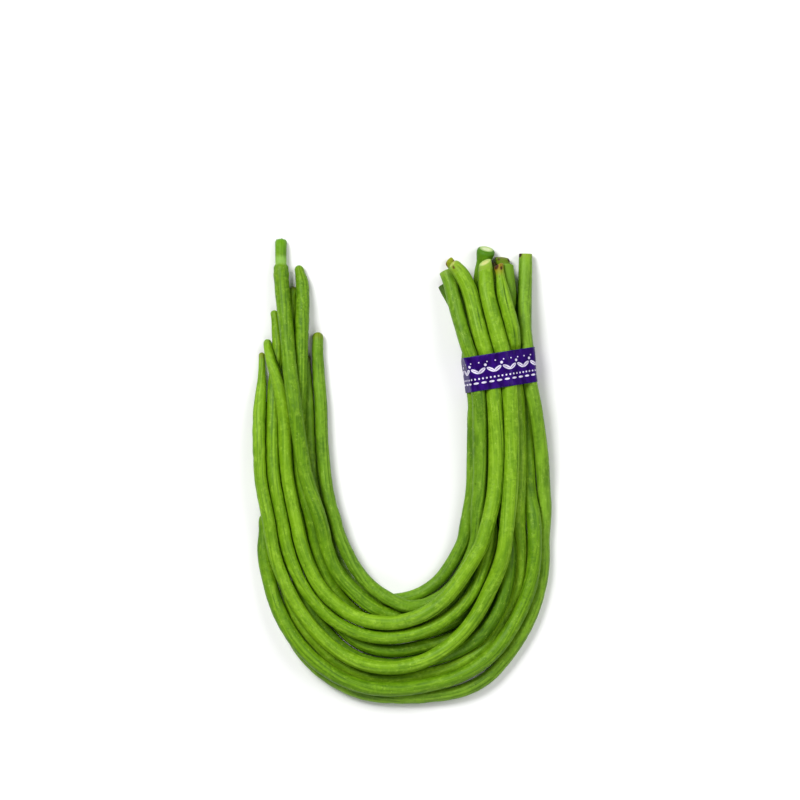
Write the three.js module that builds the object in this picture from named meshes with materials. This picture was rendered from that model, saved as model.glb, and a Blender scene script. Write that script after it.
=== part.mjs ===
// A bunch of twelve yardlong bean pods, folded once into a U and tied near the stem ends with one turn of
// tape. It lies flat on a table: +X runs across the fold, +Y from the bend to the free ends, +Z up.
// Lengths are in millimetres.
import * as THREE from 'three';

const { clamp, smoothstep, lerp, degToRad } = THREE.MathUtils;

// The fold's middle line is a U: two straight arms joined by a half circle.
const bendRadius = 67;
const quarterTurn = bendRadius * Math.PI / 2;

// The pods' skins.
const ringSides = 8;
const ringPitch = 9.2; // spacing of the rings along a pod
const tipRings = [0, 1.1, 3, 7, 14, 18.5]; // closer together at the tip
const stemRings = [8.5, 4.2, 0]; // and at the stem end, measured from there
const noseRounding = 2.2;
const noseFlat = 0.3; // share of the radius that the blunt face of the tip has
const podRoughness = 0.45;
const podGap = 0.32; // air left between neighbours
const layerRise = 7.2; // how much higher a pod sits for each pod under it
const cornerSwell = 1.03; // the corners stand out past the round skin as far as the flats lie inside it
const flatShare = cornerSwell * Math.cos(Math.PI / ringSides);

// One turn of tape, placed by the middle of its width.
const tape = {
  along: 205, out: -7, lean: 9, width: 21, thickness: 0.5, spokes: 96, stations: 5,
  span: 41.8, height: 24.5, // the space that it leaves the pods
  ramp: 25, // length over which the pods sink back to the table past it
  purple: 0x3a1478, roughness: 0.25,
};

// How a pod ends: shares of its radius, and distances from the very end.
const tips = {
  blunt: { end: 0.62, from: 0, to: 26 },
  wide: { end: 0.9, from: 0, to: 20 },
  slim: { end: 0.5, from: 0, to: 34 },
  sloped: { end: 0.62, from: 0, to: 10 },
  stepped: { end: 0.8, from: 14, to: 18.5 },
};
const stems = {
  cut: { neck: 0.96, neckAt: 6, end: 0.95, reach: 14 },
  knob: { neck: 0.86, neckAt: 9, end: 1.25, reach: 18 },
  pinched: { neck: 0.62, neckAt: 5, end: 0.7, reach: 20 },
  dried: { neck: 0.7, neckAt: 6, end: 0.5, reach: 18 },
};

// The pods, from the inside of the bend outward. A knot says where a pod runs: how far along the middle line
// from the foot of the bend (the left arm is negative), how far outside that line, and how many pods lie
// under it.
const pods = [
  {
    name: 'pod_inner_left', green: 0x76a038, radii: [3.8, 4.4], tip: 'wide', stem: 'cut',
    knots: [
      [-225.5, -17.4, 0], [-197, -18, 0], [-167, -18.8, 0], [-137, -22.2, 0], [-125, -24.2, 0],
      [-107, -30, 0], [-89, -33.4, 0], [-77, -34.2, 0], [-47, -33.6, 0.2], [-29, -31.6, 0.8], [-17, -30, 1],
      [0, -26.4, 0.8], [13, -23, 0.4], [43, -22.6, 0], [73, -22.6, 0], [88, -21.2, 0.4], [103, -19.9, 0.9],
      [118, -19, 1], [133, -18.4, 1], [163, -18.6, 1], [190, -19, 1.4], [205, -20.6, 1.8],
      [219, -25.6, 1.9], [232, -29.4, 1.8], [242, -32.4, 1.6], [256, -35.6, 1.4], [265, -38, 1.2],
    ],
  },
  {
    name: 'pod_inner_right', green: 0x7a9f36, radii: [3.75, 4.2], tip: 'slim', stem: 'pinched',
    knots: [
      [-213, -11.8, 0], [-167, -13.2, 0], [-137, -15.2, 0], [-107, -23, 0], [-77, -26, 0], [-47, -25.6, 0],
      [-29, -26, 0], [-17, -27, 0], [0, -28.6, 0], [13, -29.6, 0], [43, -30.9, 0], [73, -30.8, 0],
      [88, -29, 0], [103, -25.9, 0], [118, -23.4, 0], [133, -21.6, 0], [163, -22.4, 0.1], [190, -23.4, 0.5],
      [205, -22.6, 0.9], [219, -20.4, 0.9], [236, -23, 0.9], [248, -26.4, 0.9], [260, -31.6, 0.9],
      [271.5, -37.6, 1],
    ],
  },
  {
    name: 'pod_tall_tip', green: 0x6f9a34, radii: [4.5, 4.1], tip: 'stepped', stem: 'dried',
    knots: [
      [-281.5, 4.2, 0.9], [-265, 4, 0.9], [-251, 3, 1], [-227, 0, 1], [-203, -2.6, 1], [-167, -6.9, 1],
      [-143, -10.4, 1], [-125, -15.4, 1], [-107, -20.8, 0.9], [-89, -23, 0.9], [-65, -24.2, 0.9],
      [-47, -24.6, 1], [-29, -22.8, 0.8], [-17, -20.4, 0.3], [0, -18.4, 0], [13, -16, 0], [43, -14.4, 0],
      [73, -14.6, 0], [103, -20, 0], [118, -17.4, 0], [133, -15.2, 0], [163, -15, 0], [190, -17.6, 0],
      [205, -19.8, 0], [219, -22, 0], [236, -28.6, 0], [256, -41.8, 0.2],
    ],
  },
  {
    name: 'pod_second_tip', green: 0x6c9a2c, radii: [4.2, 4.4], tip: 'sloped', stem: 'knob',
    knots: [
      [-267, -8.2, 0.8], [-251, -8.2, 1], [-227, -6.8, 1], [-203, -6.2, 0.9], [-185, -6.8, 0.4],
      [-167, -6.6, 0], [-137, -8.4, 0], [-107, -15.8, 0], [-77, -17.6, 0], [-47, -15.2, 0], [-32, -13.6, 0],
      [-17, -11.2, 0], [0, -9.4, 0], [13, -8, 0], [43, -6.2, 0], [73, -6.6, 0], [103, -11.8, 0],
      [133, -7.2, 0], [163, -7, 0], [190, -9, 0], [205, -11.3, 0], [219, -12.4, 0.1], [236, -14.6, 0.4],
      [253, -17.2, 0.8], [262, -17.2, 1], [278, -14.6, 1.2],
    ],
  },
  {
    name: 'pod_crossing', green: 0x6e9a2e, radii: [3.7, 4.1], tip: 'blunt', stem: 'dried',
    knots: [
      [-240, 8.4, 0.6], [-227, 7.4, 0.6], [-213, 7.6, 0.6], [-197, 9, 0.7], [-179, 9.6, 0.9], [-143, 8, 1],
      [-125, 5, 1], [-107, 1.8, 1], [-89, -0.9, 1], [-65, -2.4, 1.1], [-41, -3.2, 1], [-17, -4.8, 0.9],
      [0, -6.6, 0.9], [13, -8, 1], [43, -10.6, 1], [73, -12.4, 1], [88, -12.6, 1], [103, -11.4, 1],
      [133, -11, 0.9], [163, -11, 0.9], [190, -13.6, 0.9], [205, -15.4, 0.9], [219, -16.4, 0.9],
      [245, -13.6, 0.7], [270, -11, 0.9],
    ],
  },
  {
    name: 'pod_top', green: 0x86b048, radii: [3.9, 4.8], tip: 'blunt', stem: 'cut',
    knots: [
      [-222, 12, 1.2], [-209, 9, 1.5], [-191, 4.8, 1.5], [-179, 3, 1.3], [-167, 2.4, 1.1], [-143, 0.2, 1.1],
      [-125, -3.3, 1.1], [-107, -6.9, 1.1], [-89, -9.6, 1.1], [-65, -10.8, 1.1], [-47, -11.7, 1.1],
      [-29, -12.9, 1.1], [-17, -14.4, 1.1], [0, -16.2, 1.1], [13, -18, 1.2], [43, -21.2, 1.2],
      [61, -22.4, 1.3], [73, -22.2, 1.4], [85, -21, 1.6], [103, -16.8, 1.9], [118, -12.8, 2], [133, -10, 2],
      [163, -9, 2], [190, -10.6, 2], [205, -12.2, 1.8], [224, -16.4, 1.9], [236, -19.4, 1.8],
      [248, -22.4, 1.7], [257, -26.2, 1.7], [264, -30.6, 1.7], [268.5, -35.4, 1.6],
    ],
  },
  {
    name: 'pod_middle', green: 0x84ad40, radii: [3.7, 4.9], tip: 'slim', stem: 'cut',
    knots: [
      [-215, 15.7, 0.4], [-197, 15.6, 0.6], [-179, 16.6, 0.9], [-143, 15.6, 1], [-125, 12.9, 1],
      [-107, 10.4, 1], [-89, 8, 1], [-77, 7, 1], [-59, 7.8, 1], [-47, 9, 1], [-29, 11.4, 1], [-17, 12.4, 1],
      [0, 11.6, 1], [13, 9.2, 1.1], [31, 4.4, 1.1], [43, 1.2, 1.1], [61, -2.8, 1.1], [73, -4.2, 1.3],
      [103, -3.2, 1.8], [133, -0.8, 1.9], [163, -0.2, 1.9], [190, -2, 1.9], [205, -3.2, 1.8],
      [224, -7, 1.8], [248, -13, 1.4], [270, -15.6, 1.1],
    ],
  },
  {
    name: 'pod_under_left', green: 0x5f8a24, radii: [3.7, 4.3], tip: 'blunt', stem: 'dried',
    knots: [
      [-254, -3, 0], [-227, -3.2, 0], [-197, -3, 0], [-167, 0, 0], [-137, -1, 0], [-107, -8.2, 0],
      [-77, -9.2, 0], [-47, -4, 0], [-29, 0.8, 0], [-17, 2.2, 0], [0, 1.8, 0], [13, -0.2, 0], [43, 1.8, 0],
      [73, 1.4, 0], [103, -3.6, 0], [133, 0.8, 0], [163, 1, 0], [190, -0.8, 0], [205, -2.8, 0],
      [219, -4, 0], [240, -6, 0], [258, -8, 0.2],
    ],
  },
  {
    name: 'pod_under_middle', green: 0x5d8722, radii: [3.9, 4.3], tip: 'slim', stem: 'cut',
    knots: [
      [-167, 6, 0], [-137, 6.4, 0], [-107, -0.4, 0], [-77, -1, 0], [-47, 4.6, 0], [-29, 9, 0],
      [-17, 10.6, 0], [0, 10.2, 0], [13, 8.4, 0], [43, 9.4, 0.3], [55, 7.8, 0.8], [73, 4.4, 1], [85, 2, 1],
      [103, 0, 0.9], [133, -3, 0.9], [163, -3, 0.9], [190, -5.6, 0.9], [205, -7, 0.9], [219, -4, 1],
      [236, -0.8, 1.2], [253, -0.8, 1.3], [268, -3.4, 1.3],
    ],
  },
  {
    name: 'pod_right_middle', green: 0x6d962c, radii: [3.7, 4.3], tip: 'blunt', stem: 'pinched',
    knots: [
      [-185, 12.4, 0], [-137, 13.8, 0], [-107, 7.6, 0], [-77, 7.8, 0], [-62, 11.4, 0], [-47, 14, 0],
      [-29, 17.8, 0], [-17, 18.8, 0], [0, 18.2, 0], [13, 16.4, 0], [43, 17.4, 0], [55, 14.4, 0.1],
      [73, 10, 0.3], [85, 8, 0.7], [103, 5.2, 0.9], [118, 4.4, 0.9], [133, 4.4, 0.9], [163, 3.6, 0.9],
      [190, 2.2, 0.9], [205, 1.5, 0.9], [219, 0.6, 1.2], [236, -2.7, 1.5], [253, -6, 1.7], [268, -7.2, 1.8],
    ],
  },
  {
    name: 'pod_outer', green: 0x628c26, radii: [4.4, 4.3], tip: 'blunt', stem: 'cut',
    knots: [
      [-117, 12.8, 0], [-107, 13, 0.2], [-89, 14, 0.2], [-77, 16, 0.4], [-59, 19.8, 0.9], [-47, 22.4, 1],
      [-29, 25.2, 1.1], [-17, 26, 1.1], [0, 25, 1], [13, 24, 0.9], [31, 23.8, 0.7], [43, 22.4, 0.6],
      [61, 19.4, 0.7], [73, 17.8, 0.9], [88, 16, 1.1], [103, 14, 1.1], [118, 12, 0.7], [133, 10, 0.2],
      [163, 8.8, 0], [190, 7.4, 0], [205, 5.7, 0], [219, 3.6, 0], [236, 1, 0.1], [253, -2.9, 0.3],
      [272.5, -5.8, 0.6],
    ],
  },
  {
    name: 'pod_outermost', green: 0x769f3c, radii: [3.9, 4.2], tip: 'slim', stem: 'cut',
    knots: [
      [-70, 16.6, 0], [-59, 20.4, 0], [-47, 23.6, 0], [-35, 26.6, 0], [-17, 29.4, 0], [0, 29.2, 0],
      [13, 30.6, 0], [25, 33, 0], [37, 33, 0], [49, 29.8, 0], [61, 26.9, 0], [73, 24.1, 0], [88, 20.6, 0],
      [103, 17.4, 0], [118, 17.2, 0], [133, 17.4, 0], [163, 16, 0.1], [190, 12.2, 0.5], [205, 9, 0.9],
      [219, 6.8, 0.9], [236, 6.6, 0.8], [253, 7.8, 0.7], [275, 8.9, 0.7],
    ],
  },
];

// How the pods come to rest.
const settling = {
  rounds: 1200, fallRounds: 800, fall: 0.04, pull: [0.3, 0.03], climb: 1.6, squeeze: 0.5, ease: 0.3,
  reach: 16, refresh: 20, cleared: 0.01,
};

// The plan position for a distance along the middle line and outside it.
function onFold(along, out) {
  const reach = bendRadius + out;
  if (Math.abs(along) > quarterTurn) {
    return [Math.sign(along) * reach, Math.abs(along) - quarterTurn];
  }
  const turn = along / bendRadius;
  return [reach * Math.sin(turn), -reach * Math.cos(turn)];
}

// The pod's radius at a distance from its tip. It grows a little all the way to the stem end.
function radiusAt(pod, distance) {
  const [thin, thick] = pod.radii;
  const tip = tips[pod.tip];
  const stem = stems[pod.stem];
  const toStem = pod.length - distance;
  const taper = lerp(tip.end, 1, smoothstep(distance, tip.from, tip.to));
  const nose = Math.sqrt(1 - (1 - Math.min(distance / noseRounding, 1)) ** 2);
  const shoulder = lerp(stem.neck, 1, smoothstep(toStem, stem.neckAt, stem.reach));
  const collar = lerp(stem.end, stem.neck, smoothstep(toStem, 0, stem.neckAt));
  const body = lerp(thin, thick, distance / pod.length);
  return body * taper * Math.max(nose, noseFlat) * (toStem < stem.neckAt ? collar : shoulder);
}

// Distances of the rings from the tip: close together at both ends, evenly spaced between.
function ringDistances(length) {
  const start = tipRings.at(-1);
  const end = length - stemRings[0];
  const steps = Math.round((end - start) / ringPitch);
  const between = Array.from({ length: steps - 1 }, (_, i) => lerp(start, end, (i + 1) / steps));
  return [...tipRings, ...between, ...stemRings.map((d) => length - d)];
}

// Lays a pod along its knots and gives it one point for each ring.
function layOut(pod) {
  const knots = pod.knots.map((knot) => new THREE.Vector3(...knot));
  const lane = new THREE.CatmullRomCurve3(knots, false, 'centripetal');
  const placesPerKnot = 20;
  const line = lane.getPoints(knots.length * placesPerKnot).map((p) => {
    const [x, y] = onFold(p.x, p.y);
    return new THREE.Vector3(x, y, pod.radii[0] + p.z * layerRise);
  });
  const travelled = [0];
  line.slice(1).forEach((p, i) => travelled.push(travelled[i] + p.distanceTo(line[i])));
  pod.length = travelled.at(-1);
  let i = 0;
  pod.home = ringDistances(pod.length).map((distance) => {
    while (i < line.length - 2 && travelled[i + 1] < distance) i += 1;
    const share = (distance - travelled[i]) / (travelled[i + 1] - travelled[i]);
    return line[i].clone().lerp(line[i + 1], share);
  });
  pod.points = pod.home.map((p) => p.clone());
  pod.girth = ringDistances(pod.length).map((distance) => radiusAt(pod, distance));
}

// The nearest places of two segments, as shares of each.
function nearest(startA, endA, startB, endB) {
  const runA = endA.clone().sub(startA);
  const runB = endB.clone().sub(startB);
  const apart = startA.clone().sub(startB);
  const sizeA = runA.lengthSq();
  const sizeB = runB.lengthSq();
  const both = runA.dot(runB);
  const spread = sizeA * sizeB - both ** 2;
  const parallel = spread < 1e-9;
  const middleA = (both * runB.dot(apart) - runA.dot(apart) * sizeB) / spread;
  const firstA = parallel ? 0.5 : clamp(middleA, 0, 1);
  const shareB = clamp((both * firstA + runB.dot(apart)) / sizeB, 0, 1);
  const shareA = clamp((both * shareB - runA.dot(apart)) / sizeA, 0, 1);
  return [shareA, shareB];
}

// Pairs of segments of different pods that lie close enough to meet soon.
function closePairs() {
  const segments = pods.flatMap((pod) => pod.points.slice(1).map((end, i) => ({
    pod, i, middle: end.clone().add(pod.points[i]).multiplyScalar(0.5),
  })));
  const pairs = [];
  segments.forEach((a, n) => {
    for (const b of segments.slice(n + 1)) {
      if (a.pod !== b.pod && a.middle.distanceToSquared(b.middle) < settling.reach ** 2) pairs.push([a, b]);
    }
  });
  return pairs;
}

// Moves two segments apart until their skins clear each other.
function separate([a, b]) {
  const [startA, endA] = [a.pod.points[a.i], a.pod.points[a.i + 1]];
  const [startB, endB] = [b.pod.points[b.i], b.pod.points[b.i + 1]];
  const [shareA, shareB] = nearest(startA, endA, startB, endB);
  const between = startA.clone().lerp(endA, shareA).sub(startB.clone().lerp(endB, shareB));
  const distance = between.length() || 1e-6;
  const radiusA = lerp(a.pod.girth[a.i], a.pod.girth[a.i + 1], shareA);
  const radiusB = lerp(b.pod.girth[b.i], b.pod.girth[b.i + 1], shareB);
  const missing = radiusA + radiusB + podGap - distance;
  if (missing <= 0) return 0;
  const push = between.multiplyScalar(missing / distance / 2);
  push.z *= settling.climb;
  const weightA = (1 - shareA) ** 2 + shareA ** 2;
  const weightB = (1 - shareB) ** 2 + shareB ** 2;
  startA.addScaledVector(push, (1 - shareA) / weightA);
  endA.addScaledVector(push, shareA / weightA);
  startB.addScaledVector(push, -(1 - shareB) / weightB);
  endB.addScaledVector(push, -shareB / weightB);
  return missing;
}

// The tape runs under the pods that it ties, so it lifts them a little, and they sink back past it.
const [tapeX, tapeY] = onFold(tape.along, tape.out);
const lean = degToRad(tape.lean);
const tapeAxis = new THREE.Vector3(-Math.sin(lean), Math.cos(lean), 0);
const tapeAcross = new THREE.Vector3(Math.cos(lean), Math.sin(lean), 0);
const tapeCentre = new THREE.Vector3(tapeX, tapeY, 0);

function tableUnder(point) {
  if (point.x < 0) return 0;
  const past = Math.abs(point.clone().sub(tapeCentre).dot(tapeAxis)) - tape.width / 2 - ringPitch;
  return (tape.thickness + podGap) * (1 - smoothstep(past, 0, tape.ramp));
}

// The tape holds the pods together: none leaves the space inside it.
function cinch() {
  for (const pod of pods) {
    pod.points.forEach((p, i) => {
      const offset = p.clone().sub(tapeCentre);
      if (p.x < 0 || Math.abs(offset.dot(tapeAxis)) > tape.width / 2 + ringPitch) return;
      const across = offset.dot(tapeAcross);
      const room = tape.span / 2 - pod.girth[i];
      const excess = across - clamp(across, -room, room);
      p.addScaledVector(tapeAcross, -excess * settling.squeeze);
      p.z -= Math.max(p.z - (tape.height - pod.girth[i]), 0) * settling.squeeze;
    });
  }
}

function restOnTable() {
  for (const pod of pods) {
    pod.points.forEach((p, i) => {
      p.z = Math.max(p.z, pod.girth[i] * flatShare + tableUnder(p));
    });
  }
}

// A bent pod springs back, so a push at one place spreads to both sides of it.
function stiffen() {
  for (const pod of pods) {
    const shift = pod.points.map((p, i) => p.clone().sub(pod.home[i]));
    for (let i = 1; i < pod.points.length - 1; i += 1) {
      const place = pod.points[i];
      const lag = shift[i - 1].clone().add(shift[i + 1]).multiplyScalar(0.5).sub(shift[i]);
      const sag = (pod.points[i - 1].z + pod.points[i + 1].z) / 2 - place.z;
      place.x += lag.x * settling.ease;
      place.y += lag.y * settling.ease;
      place.z += sag * settling.ease;
    }
  }
}

// Lets the pods fall onto the table and onto each other, then clears the last overlaps.
function settle() {
  let pairs = [];
  for (let round = 0; round < settling.rounds; round += 1) {
    if (round % settling.refresh === 0) pairs = closePairs();
    const falling = round < settling.fallRounds;
    const pull = lerp(...settling.pull, round / settling.fallRounds);
    for (const pod of pods) {
      pod.points.forEach((p, i) => {
        if (!falling) return;
        p.z -= settling.fall;
        p.x += (pod.home[i].x - p.x) * pull;
        p.y += (pod.home[i].y - p.y) * pull;
      });
    }
    if (falling) stiffen();
    if (falling) cinch();
    const worst = Math.max(...pairs.map(separate));
    restOnTable();
    if (!falling && worst < settling.cleared) break;
  }
}

// Skins a settled pod: a cylinder whose rings are set square to the pod's line.
function podGeometry(pod) {
  const last = pod.points.length - 1;
  const geometry = new THREE.CylinderGeometry(1, 1, last, ringSides, last);
  const position = geometry.attributes.position;
  const up = new THREE.Vector3(0, 0, 1);
  const frames = pod.points.map((_, i) => {
    const before = pod.points[Math.max(i - 1, 0)];
    const after = pod.points[Math.min(i + 1, last)];
    const tangent = after.clone().sub(before).normalize();
    const side = up.clone().cross(tangent).normalize();
    return { side, top: tangent.clone().cross(side) };
  });
  for (let n = 0; n < position.count; n += 1) {
    const ring = Math.round(last / 2 - position.getY(n));
    const around = Math.atan2(position.getZ(n), position.getX(n)) + Math.PI / ringSides;
    const outward = Math.hypot(position.getX(n), position.getZ(n)) * pod.girth[ring] * cornerSwell;
    const place = pod.points[ring].clone()
      .addScaledVector(frames[ring].side, Math.cos(around) * outward)
      .addScaledVector(frames[ring].top, Math.sin(around) * outward);
    position.setXYZ(n, place.x, place.y, place.z);
  }
  return geometry;
}

// Where a pod's line crosses the plane across the tape at a distance from the tape's middle.
function crossing(pod, station) {
  const past = pod.points.map((p) => p.clone().sub(tapeCentre).dot(tapeAxis) - station);
  const i = past.findIndex((d, n) => n > 0 && pod.points[n].x > 0 && past[n - 1] < 0 && d >= 0);
  const share = past[i - 1] / (past[i - 1] - past[i]);
  const place = pod.points[i - 1].clone().lerp(pod.points[i], share);
  const run = pod.points[i].clone().sub(pod.points[i - 1]).normalize();
  const radius = lerp(pod.girth[i - 1], pod.girth[i], share) * cornerSwell;
  return {
    across: place.clone().sub(tapeCentre).dot(tapeAcross),
    height: place.z,
    radius: radius / Math.abs(run.dot(tapeAxis)),
  };
}

// The tight outline round all the pods at one station, pushed outward, measured along one spoke from the
// middle. The outline is where the lines that touch the circles from every side leave the least room.
function tapeReach(circles, middle, spoke, outward) {
  const lines = 240;
  const leastFacing = 0.15;
  let reach = Infinity;
  for (let n = 0; n < lines; n += 1) {
    const angle = n * 2 * Math.PI / lines;
    const facing = Math.cos(angle - spoke);
    if (facing < leastFacing) continue;
    const support = Math.max(...circles.map((c) => (c.across - middle.across) * Math.cos(angle)
      + (c.height - middle.height) * Math.sin(angle) + c.radius)) + outward;
    reach = Math.min(reach, support / facing);
  }
  return reach;
}

// The tape: a closed band whose rectangular section is swept round the bundle and stretched to fit it.
function tapeGeometry() {
  const { width, stations, spokes, thickness } = tape;
  const wall = Array.from({ length: stations }, (_, i) => (i / (stations - 1) - 0.5) * width);
  const inner = 1; // any two radii do: the sweep is stretched below
  const outer = 2;
  const profile = [
    ...wall.map((y) => new THREE.Vector2(outer, y)),
    ...wall.toReversed().map((y) => new THREE.Vector2(inner, y)),
    new THREE.Vector2(outer, wall[0]),
  ];
  const geometry = new THREE.LatheGeometry(profile, spokes);
  const position = geometry.attributes.position;
  const rounds = new Map(wall.map((y) => [y.toFixed(3), pods.map((pod) => crossing(pod, y))]));
  const all = [...rounds.values()].flat();
  const mean = (key) => all.reduce((sum, c) => sum + c[key], 0) / all.length;
  const middle = { across: mean('across'), height: mean('height') };
  for (let n = 0; n < position.count; n += 1) {
    const [x, y, z] = [position.getX(n), position.getY(n), position.getZ(n)];
    const spoke = Math.atan2(z, x);
    const outward = podGap + (Math.hypot(x, z) > (inner + outer) / 2 ? thickness : 0);
    const reach = tapeReach(rounds.get(y.toFixed(3)), middle, spoke, outward);
    const place = tapeCentre.clone().addScaledVector(tapeAxis, y)
      .addScaledVector(tapeAcross, middle.across + reach * Math.cos(spoke));
    const height = middle.height + reach * Math.sin(spoke);
    const lowest = outward > podGap ? 0 : thickness;
    position.setXYZ(n, place.x, place.y, Math.max(height, lowest));
  }
  return geometry;
}

function mesh(name, geometry, color, roughness) {
  const material = new THREE.MeshStandardMaterial({ color, roughness, metalness: 0 });
  const made = new THREE.Mesh(geometry, material);
  made.name = name;
  return made;
}

pods.forEach(layOut);
settle();
const bunch = new THREE.Group();
pods.forEach((pod) => bunch.add(mesh(pod.name, podGeometry(pod), pod.green, podRoughness)));
bunch.add(mesh('tape_band', tapeGeometry(), tape.purple, tape.roughness));

// The origin is the middle of the bunch's footprint, on the table.
const box = new THREE.Box3().setFromObject(bunch);
const footprint = box.getCenter(new THREE.Vector3());
bunch.position.set(-footprint.x, -footprint.y, -box.min.z);

export default bunch;
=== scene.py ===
# Yardlong bean bunch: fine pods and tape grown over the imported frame.
import math

import bpy
import numpy as np
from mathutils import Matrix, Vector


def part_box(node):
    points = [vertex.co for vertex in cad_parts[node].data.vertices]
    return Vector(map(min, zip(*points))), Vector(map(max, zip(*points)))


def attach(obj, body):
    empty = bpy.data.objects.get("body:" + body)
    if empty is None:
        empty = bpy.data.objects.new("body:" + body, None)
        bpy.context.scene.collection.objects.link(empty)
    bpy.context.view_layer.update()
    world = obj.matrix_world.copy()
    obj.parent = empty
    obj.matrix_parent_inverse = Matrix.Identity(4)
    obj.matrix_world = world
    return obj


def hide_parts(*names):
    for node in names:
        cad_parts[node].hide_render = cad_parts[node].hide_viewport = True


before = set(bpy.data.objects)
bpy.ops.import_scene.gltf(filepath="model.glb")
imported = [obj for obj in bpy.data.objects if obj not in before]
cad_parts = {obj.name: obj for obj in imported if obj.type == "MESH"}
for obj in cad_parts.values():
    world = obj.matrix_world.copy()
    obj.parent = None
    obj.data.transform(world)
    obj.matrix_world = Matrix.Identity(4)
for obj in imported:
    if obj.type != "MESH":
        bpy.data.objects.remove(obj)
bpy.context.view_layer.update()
print("frame: loaded", len(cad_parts), "pieces")

millimetre = 0.001


class Wire:
    # one output of a shader node, usable in sums

    def __init__(self, tree, socket=None):
        self.tree = tree
        self.socket = socket

    def add(self, kind, settings=None, sockets=None, out=0):
        # the one way to any node: its settings first, then its sockets
        node = self.tree.nodes.new(kind)
        for key, value in (settings or {}).items():
            setattr(node, key, value)
        for key, value in (sockets or {}).items():
            if isinstance(value, Wire):
                self.tree.links.new(value.socket, node.inputs[key])
            else:
                node.inputs[key].default_value = value
        if isinstance(out, tuple):
            return [Wire(self.tree, node.outputs[name]) for name in out]
        return Wire(self.tree, node.outputs[out])

    def math(self, operation, *values):
        return self.add("ShaderNodeMath", {"operation": operation}, dict(enumerate(values)))

    def __add__(self, other):
        return self.math("ADD", self, other)

    def __radd__(self, other):
        return self.math("ADD", other, self)

    def __sub__(self, other):
        return self.math("SUBTRACT", self, other)

    def __rsub__(self, other):
        return self.math("SUBTRACT", other, self)

    def __mul__(self, other):
        return self.math("MULTIPLY", self, other)

    def __rmul__(self, other):
        return self.math("MULTIPLY", other, self)

    def __truediv__(self, other):
        return self.math("DIVIDE", self, other)

    def __abs__(self):
        return self.math("ABSOLUTE", self)


def rise(value, low, high):
    # 0 at low, 1 at high, smooth between and level outside; low may be the larger
    return value.add("ShaderNodeMapRange", {"interpolation_type": "SMOOTHSTEP"},
                     {"Value": value, "From Min": low, "From Max": high})


def blend(share, first, second):
    return share.add("ShaderNodeMix", {"data_type": "RGBA"}, {0: share, 6: first, 7: second}, out=2)


def colour(red, green, blue):
    # screen values from 0 to 255 as linear light
    linear = [(v / 255 / 12.92) if v < 11 else ((v / 255 + 0.055) / 1.055) ** 2.4 for v in (red, green, blue)]
    return (*linear, 1.0)


def newMaterial(name):
    material = bpy.data.materials.new(name)
    material.use_nodes = True
    tree = material.node_tree
    return material, Wire(tree), tree.nodes["Principled BSDF"]


def finish(wire, shader, values):
    # what changes over the surface, and the plain numbers of the finish
    for key, value in values.items():
        if isinstance(value, Wire):
            wire.tree.links.new(value.socket, shader.inputs[key])
        else:
            shader.inputs[key].default_value = value


def newPiece(name, points, faces, attributes, material, node):
    mesh = bpy.data.meshes.new(name)
    mesh.from_pydata([tuple(p) for p in points], [], faces)
    for key, values in attributes.items():
        layer = mesh.attributes.new(key, "FLOAT_VECTOR", "POINT")
        layer.data.foreach_set("vector", np.asarray(values, float).ravel())
    mesh.shade_smooth()
    mesh.materials.append(material)
    piece = bpy.data.objects.new(name, mesh)
    bpy.context.scene.collection.objects.link(piece)
    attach(piece, "root")
    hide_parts(node)


def smooth(value):
    t = np.clip(value, 0, 1)
    return t * t * (3 - 2 * t)


def ripple(rng, s, shortest, longest, parts=5):
    # a smooth random line between about -1 and 1 whose waves are shortest to longest metres long
    total = np.zeros_like(s)
    for _ in range(parts):
        wave = rng.uniform(shortest, longest)
        total += np.sin(2 * math.pi * (s / wave + rng.uniform()))
    return total / math.sqrt(parts)


def formAt(knots, distance):
    # a girth factor that runs smoothly through (millimetres, factor) knots
    places = np.array([knot[0] for knot in knots]) * millimetre
    factors = np.array([knot[1] for knot in knots])
    i = np.clip(np.searchsorted(places, distance, side="right") - 1, 0, len(knots) - 2)
    share = smooth((distance - places[i]) / (places[i + 1] - places[i]))
    return factors[i] + (factors[i + 1] - factors[i]) * share


def ringsOf(node):
    # the frame's pod is a chain of rings between two end points: weld it and walk it ring by ring
    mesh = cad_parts[node].data
    points = np.array([v.co[:] for v in mesh.vertices])
    keys, place = np.unique(np.round(points * 1e6).astype(int), axis=0, return_inverse=True)
    place = place.ravel()
    around = [set() for _ in keys]
    for face in mesh.polygons:
        corners = [place[v] for v in face.vertices]
        for corner in corners:
            around[corner].update(c for c in corners if c != corner)
    welded = keys / 1e6
    ends = [i for i, near in enumerate(around) if len(near) == podShape["cadSides"]]
    start = min(ends, key=lambda i: welded[i][0])  # the tips are all on the left
    rings, seen, level = [], {start}, {start}
    while level:
        level = set().union(*(around[i] for i in level)) - seen
        seen |= level
        if len(level) > 1:
            rings.append(welded[sorted(level)])
    centres = np.array([ring.mean(0) for ring in rings])
    girths = np.array([np.linalg.norm(ring - ring.mean(0), axis=1).mean() for ring in rings])
    return centres, girths / podShape["cadSwell"]


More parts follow.
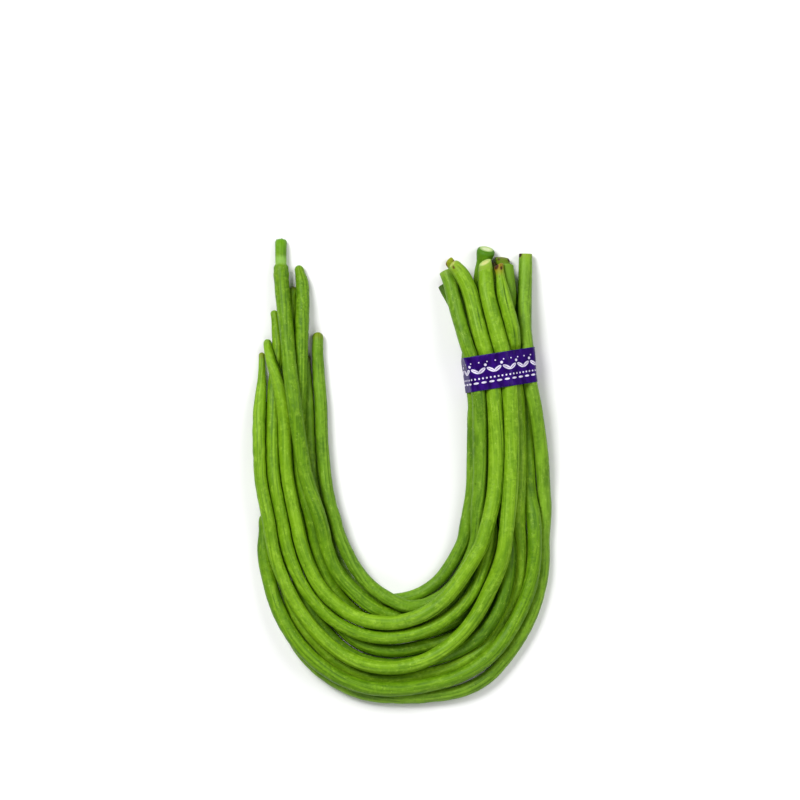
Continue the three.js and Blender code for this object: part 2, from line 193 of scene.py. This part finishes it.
class Spine:
    # a smooth line through the rings, asked by the distance from the tip

    def __init__(self, node):
        self.centres, self.girths = ringsOf(node)
        steps = np.linalg.norm(np.diff(self.centres, axis=0), axis=1)
        self.travelled = np.concatenate([[0], np.cumsum(steps)])
        self.length = self.travelled[-1]

    def at(self, s):
        t, c = self.travelled, self.centres
        slope = np.gradient(c, t, axis=0)
        i = np.clip(np.searchsorted(t, s, side="right") - 1, 0, len(t) - 2)
        span = (t[i + 1] - t[i])[:, None]
        u = np.clip((s - t[i]) / (t[i + 1] - t[i]), 0, 1)[:, None]
        return ((2 * u ** 3 - 3 * u ** 2 + 1) * c[i] + (u ** 3 - 2 * u ** 2 + u) * span * slope[i]
                + (3 * u ** 2 - 2 * u ** 3) * c[i + 1] + (u ** 3 - u ** 2) * span * slope[i + 1])

    def girthAt(self, s):
        # the first rings only round off the tip, which is done more finely here
        return np.interp(s, self.travelled[2:], self.girths[2:])


podShape = {
    "cadSides": 8,
    "cadSwell": 1.03,        # the frame's corners stand out past the round skin
    "step": 0.0009,          # metres between rings
    "slopeStep": 0.0004,     # how far to either side a slope is taken
    "columns": 34,
    "crowding": 0.22,        # how much closer the columns stand at the two seams
    "wander": 0.018,         # slow changes of girth, as a share
    "oval": 0.02,            # how much flatter a pod is across its seams
    "seedPitch": 0.0112,
    "seedSwell": 0.00009,
    "ridge": 0.00005,        # the upper seam stands up
    "ridgeWidth": 0.14,      # radians, as the other places and widths round the pod
    "groove": 0.00006,       # and runs between two grooves
    "grooveAt": 0.34,
    "grooveWidth": 0.16,
    "lowerGroove": 0.00012,
    "lowerWidth": 0.22,
    "crease": 0.00009,       # cross wrinkles
    "creaseSpacing": 0.004,
    "creaseReach": (0.0008, 0.0016),
    "creaseSpread": (0.4, 1.1),
    "creaseLean": 0.0008,
    "noseAt": 0.003,         # where the girth that sets the length of a nose is taken
    "leanReach": 0.012,      # how far from the end each of these is felt
    "tornReach": 0.005,
    "driedReach": 0.012,
    "slantReach": 0.009,
    "dish": ((0.86, 0.00012), (0.62, 0.00028), (0.36, 0.00022), (0.14, 0.0001)),  # share of the rim, depth
}


def skinRadius(pod, spine, s, phi, rng):
    # the pod's radius at each ring and column, without the rounding of its ends
    shape = podShape
    girth = spine.girthAt(s) * (1 + shape["wander"] * ripple(rng, s, 0.03, 0.1))
    girth = girth * formAt(pod["tipForm"], s) * formAt(pod["stemForm"], spine.length - s)
    flat = shape["oval"] * (0.7 + 0.3 * ripple(rng, s, 0.05, 0.15))
    body = girth[:, None] * (1 + flat[:, None] * np.cos(2 * phi))
    beat = 2 * math.pi * s / shape["seedPitch"] + 1.4 * ripple(rng, s, 0.05, 0.12)
    swell = shape["seedSwell"] * (0.6 + 0.4 * ripple(rng, s, 0.06, 0.2))
    body = body + (swell * np.cos(beat))[:, None] * np.sin(phi) ** 2
    body = body + shape["ridge"] * np.exp(-(phi / shape["ridgeWidth"]) ** 2)
    body = body - shape["groove"] * np.exp(-((abs(phi) - shape["grooveAt"]) / shape["grooveWidth"]) ** 2)
    body = body - shape["lowerGroove"] * np.exp(-((abs(phi) - math.pi) / shape["lowerWidth"]) ** 2)
    for _ in range(int(spine.length / shape["creaseSpacing"])):
        place, reach = rng.uniform(0, spine.length), rng.uniform(*shape["creaseReach"])
        middle, spread = rng.uniform(-math.pi, math.pi), rng.uniform(*shape["creaseSpread"])
        lean = rng.uniform(-shape["creaseLean"], shape["creaseLean"])
        apart = np.angle(np.exp(1j * (phi - middle)))
        dent = np.exp(-((s[:, None] + lean * apart - place) / reach) ** 2) * np.exp(-(apart / spread) ** 2)
        body = body - shape["crease"] * rng.uniform(0.3, 1.5) * dent
    shrivel = pod["dried"] * smooth(1 - (spine.length - s) / shape["driedReach"])[:, None]
    return body * (1 + shrivel * (0.1 * np.sin(5 * phi + 60 * s[:, None]) + 0.05 * np.sin(11 * phi)))


def podMesh(pod):
    shape = podShape
    rng = np.random.default_rng(pod["seed"])
    spine = Spine(pod["node"])
    length = spine.length
    nose = pod["nose"] * spine.girthAt(shape["noseAt"])
    rim = pod["rim"] * millimetre
    turn = np.linspace(0, math.pi / 2, 8)[1:]
    edge = np.linspace(0, math.pi / 2, 7)
    plain = np.arange(nose + shape["step"], length - rim - shape["step"] / 2, shape["step"])
    s = np.concatenate([nose * (1 - np.cos(turn)), plain, length - rim + rim * np.sin(edge)])
    share = np.concatenate([np.sin(turn), np.ones(len(plain) + len(edge))])
    inset = np.concatenate([np.zeros(len(turn) + len(plain)), rim * (1 - np.cos(edge))])

    line = spine.at(s)
    tangent = spine.at(s + shape["slopeStep"]) - spine.at(s - shape["slopeStep"])
    tangent /= np.linalg.norm(tangent, axis=1)[:, None]
    side = np.cross([0, 0, 1], tangent)
    side /= np.linalg.norm(side, axis=1)[:, None]
    top = np.cross(tangent, side)
    line = line - side * (pod["tipLean"] * millimetre * smooth(1 - s / shape["leanReach"]))[:, None]

    even = np.linspace(-math.pi, math.pi, shape["columns"], endpoint=False)
    seam = even - shape["crowding"] * np.sin(2 * even)
    start, rate = pod["twist"]
    twist = np.radians(start + rate * s / 0.1) + 0.25 * ripple(rng, s, 0.06, 0.2)
    phi = np.broadcast_to(seam, (len(s), len(seam)))
    theta = phi + twist[:, None]
    radius = (skinRadius(pod, spine, s, phi, rng) - inset[:, None]) * share[:, None]

    toStem = (length - s)[:, None]
    slant, towards = np.radians(pod["cut"])
    lift = radius * math.tan(slant) * np.cos(theta - towards) * smooth(1 - toStem / shape["slantReach"])
    # a torn tip is hollow, and stands up at its two sides
    tear = pod["torn"] * millimetre / 2 * smooth(1 - s / shape["tornReach"])[:, None]
    notches = (0.3 * np.sin(7 * phi) + 0.3 * np.sin(12 * phi + 2) - np.cos(2 * theta)) * share[:, None]
    lift = lift - tear * (notches + 2 * (1 - share[:, None]))
    outward = np.cos(theta)[..., None] * side[:, None] + np.sin(theta)[..., None] * top[:, None]
    points = line[:, None] + radius[..., None] * outward - lift[..., None] * tangent[:, None]
    face = [line[-1] + inner * (points[-1] - line[-1]) - depth * tangent[-1]
            for inner, depth in shape["dish"]]
    rows = np.concatenate([points, np.array(face)])
    count, columns = rows.shape[:2]
    tipPoint = line[0] + tangent[0] * (pod["torn"] * millimetre - s[0])
    flat = np.concatenate([rows.reshape(-1, 3), [tipPoint], [line[-1]]])
    flat[:, 2] = np.maximum(flat[:, 2], 0)  # a pod lies on a narrow flat of its own

    faces = []
    for r in range(count - 1):
        for c in range(columns):
            d = (c + 1) % columns
            faces.append((r * columns + c, (r + 1) * columns + c, (r + 1) * columns + d, r * columns + d))
    tipIndex, cutIndex = count * columns, count * columns + 1
    for c in range(columns):
        d = (c + 1) % columns
        faces.append((tipIndex, c, d))
        faces.append((cutIndex, (count - 1) * columns + d, (count - 1) * columns + c))

    def spread(*rings):
        # one value a ring, or one a ring and column, laid out point by point
        return np.stack([np.broadcast_to(v, (count, columns)) for v in rings], axis=-1).reshape(-1, 3)

    shares = [inner for inner, _ in shape["dish"]]
    allS = np.concatenate([s, [length] * len(face)])[:, None]
    onCut = np.concatenate([np.zeros(len(s) - 2), [0.6, 0.9], [1] * len(face)])[:, None]
    inner = np.concatenate([np.ones(len(s)), shares])[:, None]
    marks = np.zeros((count, columns))
    allTheta = np.concatenate([theta, np.repeat(theta[-1:], len(face), axis=0)])
    for angle, back, size, strength in pod["spots"]:
        apart = np.angle(np.exp(1j * (allTheta - math.radians(angle)))) * spine.girthAt(s[-1]) * inner
        lengthwise = length - allS - back * millimetre
        mark = np.exp(-(apart ** 2 + lengthwise ** 2) / (size * millimetre) ** 2)
        marks = np.maximum(marks, strength * mark)
    attributes = {
        "skin": np.concatenate([spread(np.cos(seam), np.sin(seam), allS), [[0, 0, 0], [0, 0, length]]]),
        "ends": np.concatenate([spread(length - allS, onCut, inner), [[length, 0, 1], [0, 1, 0]]]),
        "marks": np.concatenate([spread(marks, 0, 0), [[0, 0, 0], [0, 0, 0]]]),
    }
    return flat, faces, attributes


def podSkin(pod):
    material, wire, shader = newMaterial(pod["node"].replace("pod_", "skin_"))
    skin = wire.add("ShaderNodeAttribute", {"attribute_name": "skin"}, out="Vector")
    ends = wire.add("ShaderNodeAttribute", {"attribute_name": "ends"}, out="Vector")
    marks = wire.add("ShaderNodeAttribute", {"attribute_name": "marks"}, out="Vector")
    cosine, sine, along = wire.add("ShaderNodeSeparateXYZ", {}, {0: skin}, out=("X", "Y", "Z"))
    toStem, onCut, inner = wire.add("ShaderNodeSeparateXYZ", {}, {0: ends}, out=("X", "Y", "Z"))
    spot = wire.add("ShaderNodeSeparateXYZ", {}, {0: marks}, out="X")
    seam = abs(wire.math("ARCTAN2", sine, cosine))
    shift = pod["seed"] * 3.7

    def grain(around, lengthwise, detail=2.0, rough=0.5, offset=0.0):
        # noise with so many waves round the pod and along each metre of it
        place = wire.add("ShaderNodeVectorMath", {"operation": "MULTIPLY_ADD"},
                         {0: skin, 1: (around, around, lengthwise), 2: (shift + offset, shift, shift)})
        sockets = {"Vector": place, "Scale": 1.0, "Detail": detail, "Roughness": rough}
        return wire.add("ShaderNodeTexNoise", {}, sockets)

    mottle = grain(0.9, 60, 3)
    patches = grain(1.8, 210, 3, 0.6, 11.0)
    blotches = grain(4.0, 420, 3, 0.6, 41.0)
    streaks = grain(4.5, 22, 3, 0.6, 5.0)
    wrinkles = grain(1.6, 640, 2, 0.6, 3.0)
    wrinkled = rise(grain(1.1, 70, 2, 0.5, 23.0), 0.38, 0.6) + rise(along, 0.09, 0.03) * pod["tipWrinkles"]
    pores = grain(14, 3200, 2, 0.6, 2.0)

    tone = blend(0.35 + rise(mottle, 0.3, 0.62) * 0.65, pod["shade"], pod["leaf"])
    tone = blend(rise(patches, 0.5, 0.72) * 0.65, tone, pod["light"])
    tone = blend(rise(patches, 0.44, 0.26) * 0.35, tone, pod["shade"])
    tone = blend(rise(blotches, 0.54, 0.72) * 0.2, tone, pod["light"])
    tone = blend(rise(blotches, 0.43, 0.3) * 0.15, tone, pod["shade"])
    tone = blend(rise(streaks, 0.53, 0.68) * 0.5, tone, pod["light"])
    tone = blend(rise(streaks, 0.46, 0.32) * 0.4, tone, pod["shade"])
    tone = blend(rise(wrinkles, 0.52, 0.66) * wrinkled * 0.36, tone, pod["shade"])
    tone = blend(rise(wrinkles, 0.46, 0.33) * wrinkled * 0.22, tone, pod["light"])

    # the upper seam is a faint pale line between two dark ones, the lower seam a dark line, both broken
    broken = rise(grain(0.5, 60, 2, 0.5, 19.0), 0.42, 0.62)
    tone = blend(rise(seam, 0.14, 0.05) * 0.3 * broken, tone, pod["light"])
    seamTone = colour(50, 88, 4)
    beside = rise(abs(seam - 0.3), 0.13, 0.03) * (0.15 + 0.85 * broken)
    tone = blend(beside * pod["seamShare"], tone, seamTone)
    tone = blend(rise(seam, 2.98, 3.08) * (0.2 + 0.6 * broken), tone, seamTone)

    # pale pores and a few dull blots
    cells = wire.add("ShaderNodeVectorMath", {"operation": "MULTIPLY_ADD"},
                     {0: skin, 1: (3.0, 3.0, 560), 2: (shift, shift, shift)})
    seeds = wire.add("ShaderNodeTexVoronoi", {}, {"Vector": cells, "Scale": 1.0}, out="Distance")
    specks = rise(seeds, 0.2, 0.1) * rise(patches, 0.42, 0.58)
    tone = blend(specks * 0.5, tone, colour(176, 200, 96))
    blots = rise(grain(3.0, 420, 2, 0.5, 31.0), 0.68, 0.76)
    tone = blend(blots * 0.5, tone, colour(52, 76, 10))

    # both ends, the cut and its dark spots
    uneven = 0.5 + patches
    nearTip = rise(along * uneven, pod["tipFade"] * millimetre, 0.0)
    tone = blend(nearTip * pod["tipShare"], tone, pod["tip"])
    if "band" in pod:
        tone = blend(rise(abs(along - pod["bandAt"]), pod["bandWidth"], millimetre) * 0.7, tone, pod["band"])
    nearStem = rise(toStem * uneven, pod["stemFade"] * millimetre, 0.0)
    tone = blend(nearStem * pod["stemShare"], tone, pod["stem"])
    tone = blend(onCut, tone, blend(rise(inner, 0.45, 0.9), pod["pith"], pod["face"]))
    tone = blend(rise(spot * (0.6 + 0.8 * patches), 0.2, 0.6), tone, pod["spotTone"])

    height = wrinkles * (0.2 + 0.7 * wrinkled) + blotches * 0.3 + streaks * 0.25 + pores * 0.15 - specks * 0.2
    normal = wire.add("ShaderNodeBump", {}, {"Strength": 0.5, "Distance": 0.0005, "Height": height})
    rough = 0.4 + 0.18 * patches + 0.2 * onCut + 0.1 * blots
    finish(wire, shader, {"Base Color": tone, "Roughness": rough, "Normal": normal, "Metallic": 0.0,
                          "Specular IOR Level": 0.18})
    return material


def makePod(pod):
    points, faces, attributes = podMesh(pod)
    name = pod["node"].replace("pod_", "pod.")
    newPiece(name, points, faces, attributes, podSkin(pod), pod["node"])
    print("pod:", pod["node"], len(faces), "faces")


# Greens, and the ends of a plain pod. Forms are girth factors by millimetres from the end. The cut has its
# slant and the side that it faces, in degrees from the left over the top. A spot has its side in the same
# degrees, its distance from the end and its size in millimetres, and its strength.
freshGreen = {
    "leaf": colour(98, 142, 8), "light": colour(132, 174, 36), "shade": colour(58, 100, 3),
    "tip": colour(112, 150, 26), "tipFade": 8, "tipShare": 0.5, "nose": 0.7,
    "tipForm": [(0, 1), (10, 1)], "tipLean": 0, "torn": 0, "tipWrinkles": 0, "seamShare": 0.45,
    "stem": colour(124, 158, 34), "stemFade": 7, "stemShare": 0.5, "rim": 0.4,
    "stemForm": [(0, 1), (10, 1)], "dried": 0,
    "face": colour(150, 178, 76), "pith": colour(190, 204, 124),
    "cut": (0, 0), "spots": [], "spotTone": colour(48, 26, 8),
}
coolGreen = {
    **freshGreen,
    "leaf": colour(102, 146, 18), "light": colour(132, 172, 48), "shade": colour(62, 102, 8),
}
brightGreen = {
    **freshGreen,
    "leaf": colour(110, 154, 11), "light": colour(144, 186, 44), "shade": colour(70, 114, 5),
}
# a yellow-green made lighter: painted light on the two pods that lie on top and on one lying in the shade of
# its neighbours
litPaleGreen = {
    **freshGreen,
    "leaf": colour(118, 162, 18), "light": colour(148, 190, 50), "shade": colour(78, 122, 7),
}
# a darker green: painted shade for the pod that lies under the others
shadedGreen = {
    **freshGreen,
    "leaf": colour(80, 122, 6), "light": colour(112, 152, 26), "shade": colour(46, 82, 3),
}

innerLeft = {
    **coolGreen, "node": "pod_inner_left", "seed": 1, "twist": (60, 20),
    "tip": colour(136, 138, 36), "tipFade": 5, "tipShare": 0.6, "nose": 0.5, "tipLean": -0.5,
    "stem": colour(136, 170, 62), "stemFade": 6, "stemShare": 0.55, "rim": 0.9, "cut": (8, 90),
}
makePod(innerLeft)

innerRight = {
    **coolGreen, "node": "pod_inner_right", "seed": 2, "twist": (110, 25),
    "tip": colour(60, 52, 22), "tipFade": 8, "tipShare": 0.85,
    "stem": colour(142, 148, 20), "stemFade": 9, "stemShare": 0.9, "rim": 2.0, "dried": 0.3,
    "face": colour(132, 120, 26), "pith": colour(140, 124, 40), "cut": (16, 0),
    "spots": [(20, 1.5, 1.4, 0.9), (150, 3.5, 1.2, 0.8)], "spotTone": colour(108, 70, 16),
}
makePod(innerRight)

tallTip = {
    **freshGreen, "node": "pod_tall_tip", "seed": 3, "twist": (80, 30),
    "tip": colour(92, 150, 12), "tipFade": 12, "tipShare": 0.7, "nose": 0.12, "torn": 2.4, "tipWrinkles": 0.6,
    "band": colour(142, 188, 84), "bandAt": 0.012, "bandWidth": 0.004,
    "tipForm": [(0, 1), (14, 0.97), (15.6, 1.24), (19, 1.08), (26, 1)],
    "stem": colour(56, 84, 12), "stemFade": 12, "stemShare": 0.85, "dried": 0.6,
    "face": colour(70, 66, 24), "pith": colour(90, 84, 34),
}
makePod(tallTip)

secondTip = {
    **freshGreen, "node": "pod_second_tip", "seed": 4, "twist": (95, -25),
    "nose": 1.0, "tipLean": 1.6, "tipWrinkles": 0.6,
    "stem": colour(66, 118, 6), "stemFade": 17, "stemShare": 0.85, "rim": 2.2,
    "stemForm": [(0, 1), (3, 1.08), (12, 1.04), (18, 1)],
    "face": colour(176, 200, 130), "pith": colour(206, 218, 170), "cut": (12, 80),
}
makePod(secondTip)

crossing = {
    **brightGreen, "node": "pod_crossing", "seed": 5, "twist": (70, 15),
    "stem": colour(44, 22, 8), "stemFade": 10, "stemShare": 0.97, "dried": 1.0, "rim": 1.0,
    "face": colour(40, 22, 10), "pith": colour(58, 34, 16),
}
makePod(crossing)

topPod = {
    **litPaleGreen, "node": "pod_top", "seed": 6, "twist": (215, -20), "seamShare": 0.85,
    "stem": colour(136, 166, 40), "stemFade": 10, "stemShare": 0.6, "rim": 2.2,
    "stemForm": [(0, 0.82), (8, 1), (10, 1)],
    "face": colour(166, 180, 80), "pith": colour(186, 192, 100), "cut": (24, 80),
    "spots": [(70, 1.0, 1.1, 0.9)], "spotTone": colour(92, 76, 14),
}
makePod(topPod)

middlePod = {
    **litPaleGreen, "node": "pod_middle", "seed": 7, "twist": (75, 22),
    "tip": colour(128, 112, 40), "tipFade": 5, "tipShare": 0.6,
    "stem": colour(144, 174, 60), "stemFade": 8, "stemShare": 0.6, "rim": 0.9,
    "stemForm": [(0, 0.82), (7, 0.97), (12, 1)],
    "face": colour(176, 200, 110), "pith": colour(206, 208, 130), "cut": (46, 66),
}
makePod(middlePod)

underLeft = {
    **freshGreen, "node": "pod_under_left", "seed": 8, "twist": (50, 25),
    "tip": colour(74, 52, 16), "tipFade": 3, "tipShare": 0.85, "nose": 0.4,
    "stem": colour(70, 50, 16), "stemFade": 8, "stemShare": 0.8, "dried": 0.5,
}
makePod(underLeft)

underMiddle = {
    **shadedGreen, "node": "pod_under_middle", "seed": 9, "twist": (100, 18),
    "stem": colour(114, 158, 28), "stemFade": 34, "stemShare": 0.65, "rim": 1.3,
    "face": colour(126, 156, 54), "pith": colour(140, 166, 70), "cut": (12, 270),
}
makePod(underMiddle)

rightMiddle = {
    **litPaleGreen, "node": "pod_right_middle", "seed": 10, "twist": (85, -30),
    "stem": colour(146, 112, 20), "stemFade": 9, "stemShare": 0.9, "rim": 1.0, "dried": 0.5,
    "face": colour(76, 42, 14), "pith": colour(100, 62, 22), "cut": (16, 0),
    "spots": [(60, 1.0, 1.8, 0.95), (120, 3.0, 1.2, 0.8)], "spotTone": colour(70, 36, 8),
}
makePod(rightMiddle)

outerPod = {
    **freshGreen, "node": "pod_outer", "seed": 11, "twist": (65, 28),
    "stem": colour(98, 120, 14), "stemFade": 9, "stemShare": 0.85, "rim": 0.9, "dried": 0.4,
    "face": colour(112, 124, 30), "pith": colour(120, 130, 40), "cut": (20, 150),
    "spots": [(160, 1.0, 1.3, 0.9), (60, 0.6, 1.0, 0.8)], "spotTone": colour(72, 48, 8),
}
makePod(outerPod)

outermost = {
    # its leaf green is lighter than the cool palette's: painted light against the upper-left lamp's shade on
    # this outer pod
    **coolGreen, "node": "pod_outermost", "seed": 12, "twist": (90, 16), "leaf": colour(118, 162, 32),
    "stem": colour(134, 156, 40), "stemFade": 5, "stemShare": 0.6, "rim": 0.5,
    "face": colour(154, 174, 74), "pith": colour(190, 202, 124), "cut": (12, 90),
    "spots": [(30, 0.5, 2.0, 1.0)],
}
makePod(outermost)


tapeBand = {
    "lean": 9,               # degrees
    "width": 0.021,
    "clear": 0.00012,        # between the pods and the film
    "thickness": 0.0003,
    "underside": 0.00025,    # least height of the inner face
    "spokes": 360,
    "stations": 30,
    "sampling": 0.0005,      # metres between the places where a pod is asked for
    "rays": 720,             # directions in which the reach of the pods is taken
    "leastFacing": 0.15,     # a ray that faces a spoke less than this is left out
    "crinkle": 0.00012,
    "lapStep": 0.00016,      # the end laps over the start, from one spoke to another, in radians
    "lapFrom": 1.2,
    "lapTo": 1.75,
    "pitch": 0.0096,         # of the printed sprigs
    "leaf": (0.0012, 0.0031, 0.00125),  # height, half length and half width
    "vein": (0.0012, 0.0027, 0.00016),
    "leafSlant": 0.62,
    "film": colour(48, 10, 112), "deep": colour(28, 2, 76), "print": colour(226, 220, 240),
}


def tapeCircles(tape, pods, centre, axis, across, stations):
    # where the pods cross each station of the tape: sideways place, height and girth
    spines = [Spine(pod["node"]) for pod in pods]
    circles = []
    for station in stations:
        found = []
        for spine in spines:
            s = np.arange(0, spine.length, tape["sampling"])
            line = spine.at(s)
            past = (line[:, :2] - centre) @ axis - station
            hits = np.where((past[:-1] < 0) & (past[1:] >= 0) & (line[1:, 0] > 0))[0]
            i = hits[-1]
            found.append([(line[i, :2] - centre) @ across, line[i, 2], spine.girthAt(s[i])])
        circles.append(np.array(found))
    return circles


def tapeMesh(tape, pods):
    low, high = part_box("tape_band")
    centre = np.array([(low[0] + high[0]) / 2, (low[1] + high[1]) / 2])
    lean = math.radians(tape["lean"])
    axis = np.array([-math.sin(lean), math.cos(lean)])
    across = np.array([math.cos(lean), math.sin(lean)])
    stations = np.linspace(-0.5, 0.5, tape["stations"]) * tape["width"]
    circles = tapeCircles(tape, pods, centre, axis, across, stations)
    middle = np.concatenate(circles).mean(0)
    angle = np.linspace(0, 2 * math.pi, tape["rays"], endpoint=False)
    spoke = np.linspace(0, 2 * math.pi, tape["spokes"], endpoint=False)
    facing = np.cos(angle[:, None] - spoke)
    facing = np.where(facing < tape["leastFacing"], np.nan, facing)
    lap = smooth((spoke - tape["lapFrom"]) / 0.01) * smooth((tape["lapTo"] - spoke) / 0.3)
    outer, inner = [], []
    for station, found in zip(stations, circles):
        v = station / tape["width"]
        wave = (0.4 * np.sin(9 * spoke + 5 * v) + 0.3 * np.sin(23 * spoke - 9 * v + 1)
                + 0.2 * np.sin(41 * spoke + 16 * v))
        crinkle = tape["crinkle"] * wave * (0.4 + 1.2 * abs(2 * v) ** 3)
        sideways = (found[:, 0, None] - middle[0]) * np.cos(angle)
        upward = (found[:, 1, None] - middle[1]) * np.sin(angle)
        support = (sideways + upward + found[:, 2, None]).max(0)
        outerExtra = tape["clear"] + tape["thickness"] + tape["lapStep"] * lap
        for rows, extra, lowest in ((outer, outerExtra, 0.0), (inner, tape["clear"], tape["underside"])):
            reach = np.nanmin(support[:, None] / facing, axis=0) + crinkle + extra
            plan = centre + axis * station + across * (middle[0] + reach * np.cos(spoke))[:, None]
            rows.append(np.column_stack([plan, np.maximum(middle[1] + reach * np.sin(spoke), lowest)]))
    rows = np.array(outer + inner[::-1])
    count, columns = rows.shape[:2]
    faces = []
    for r in range(count):
        n = (r + 1) % count
        for c in range(columns):
            d = (c + 1) % columns
            faces.append((r * columns + c, r * columns + d, n * columns + d, n * columns + c))
    ring = rows[len(stations) // 2]
    arc = np.concatenate([[0], np.cumsum(np.linalg.norm(np.diff(ring, axis=0), axis=1))])
    v = np.concatenate([stations, stations[::-1]])[:, None]
    wrap = np.stack([np.broadcast_to(value, (count, columns)) for value in (arc, v, 0)], axis=-1)
    return rows.reshape(-1, 3), faces, {"wrap": wrap.reshape(-1, 3)}


def tapeFilm(tape):
    material, wire, shader = newMaterial("tapeFilm")
    wrap = wire.add("ShaderNodeAttribute", {"attribute_name": "wrap"}, out="Vector")
    u, v = wire.add("ShaderNodeSeparateXYZ", {}, {0: wrap}, out=("X", "Y"))

    def noise(scale, detail):
        place = wire.add("ShaderNodeVectorMath", {"operation": "MULTIPLY"}, {0: wrap, 1: scale})
        return wire.add("ShaderNodeTexNoise", {}, {"Vector": place, "Scale": 1.0, "Detail": detail})

    def ovals(pitch, offset, height, halfLong, halfHigh, slant=0.0):
        # a row of soft ovals round the tape
        sideways = (wire.math("FRACT", u / pitch + offset) - 0.5) * pitch
        upward = v - height
        x = (sideways + upward * slant) / halfLong
        y = (upward - sideways * slant) / halfHigh
        return rise(x * x + y * y, 1.15, 0.85)

    def either(first, *others):
        for other in others:
            first = wire.math("MAXIMUM", first, other)
        return first

    cloud = noise((260, 120, 1), 3.0)
    pulls = noise((900, 90, 1), 2.0)
    pitch, slant = tape["pitch"], tape["leafSlant"]
    leafOne = ovals(pitch, 0.0, *tape["leaf"], slant)
    leafTwo = ovals(pitch, 0.42, *tape["leaf"], -slant)
    veinOne = ovals(pitch, 0.0, *tape["vein"], slant)
    veinTwo = ovals(pitch, 0.42, *tape["vein"], -slant)
    sprigs = either(leafOne * (1 - veinOne), leafTwo * (1 - veinTwo))
    berries = ovals(pitch, 0.71, 0.0044, 0.0008, 0.0008)
    smallBerries = ovals(pitch / 2, 0.2, 0.0062, 0.00042, 0.00042)
    beads = ovals(pitch / 4, 0.1, -0.0034, 0.00055, 0.00055)
    lozenges = ovals(pitch / 2, 0.35, -0.0059, 0.0016, 0.0006)
    printed = either(sprigs, berries, smallBerries, beads, lozenges)
    worn = 0.72 + 0.28 * rise(cloud, 0.35, 0.6)
    tone = blend(rise(cloud, 0.3, 0.7), tape["deep"], tape["film"])
    tone = blend(printed * worn, tone, tape["print"])
    height = pulls * 0.6 + cloud * 0.4
    normal = wire.add("ShaderNodeBump", {}, {"Strength": 0.4, "Distance": 0.0005, "Height": height})
    finish(wire, shader, {"Base Color": tone, "Roughness": 0.24 + 0.14 * cloud, "Normal": normal,
                          "Metallic": 0.0, "Specular IOR Level": 0.12})
    return material


allPods = [innerLeft, innerRight, tallTip, secondTip, crossing, topPod, middlePod, underLeft, underMiddle,
           rightMiddle, outerPod, outermost]
tapePoints, tapeFaces, tapeAttributes = tapeMesh(tapeBand, allPods)
newPiece("tape.band", tapePoints, tapeFaces, tapeAttributes, tapeFilm(tapeBand), "tape_band")
print("tape:", len(tapeFaces), "faces")


studio = {
    "floor": colour(244, 244, 244), "floorReach": 3, "floorHeight": -0.0003,
    "sky": (1.0, 1.0, 1.0, 1.0), "skyStrength": 0.1,
    "lights": [  # name, place, size, watts
        ("upperLeft", (-1.0, 1.1, 1.8), 1.1, 52),
        ("right", (1.3, 0.6, 1.6), 1.4, 19),
        ("lower", (0.1, -1.6, 1.6), 1.4, 15),
    ],
}


def makeStudio(studio):
    floorMesh = bpy.data.meshes.new("floor")
    far, height = studio["floorReach"], studio["floorHeight"]
    corners = [(-far, -far, height), (far, -far, height), (far, far, height), (-far, far, height)]
    floorMesh.from_pydata(corners, [], [(0, 1, 2, 3)])
    floor = bpy.data.objects.new("floor", floorMesh)
    bpy.context.scene.collection.objects.link(floor)
    material, wire, shader = newMaterial("floorPaper")
    finish(wire, shader, {"Base Color": studio["floor"], "Roughness": 0.9})
    floorMesh.materials.append(material)
    for name, place, size, watts in studio["lights"]:
        data = bpy.data.lights.new(name, "AREA")
        data.shape = "DISK"
        data.size = size
        data.energy = watts
        light = bpy.data.objects.new(name, data)
        light.location = place
        x, y, z = place
        light.rotation_euler = (math.atan2(math.hypot(x, y), z), 0, math.atan2(-y, -x) - math.pi / 2)
        bpy.context.scene.collection.objects.link(light)
    world = bpy.data.worlds.new("softTent")
    world.use_nodes = True
    world.node_tree.nodes["Background"].inputs["Color"].default_value = studio["sky"]
    world.node_tree.nodes["Background"].inputs["Strength"].default_value = studio["skyStrength"]
    bpy.context.scene.world = world
    bpy.context.scene.view_settings.view_transform = "Standard"
    print("studio: floor and", len(studio["lights"]), "lights")


makeStudio(studio)

view = {
    "height": 4.0,           # metres above the table, straight down
    "over": (-0.00126, 0.0436),
    "across": 0.48,          # metres of the bunch's middle plane over the picture's width
    "plane": 0.012,
}


def makeCamera(view):
    data = bpy.data.cameras.new("overhead")
    data.sensor_width = 36
    data.lens = data.sensor_width * (view["height"] - view["plane"]) / view["across"]
    data.clip_end = 20
    camera = bpy.data.objects.new("overhead", data)
    camera.location = (*view["over"], view["height"])
    bpy.context.scene.collection.objects.link(camera)
    bpy.context.scene.camera = camera
    print("camera: lens", round(data.lens, 1), "mm")


makeCamera(view)
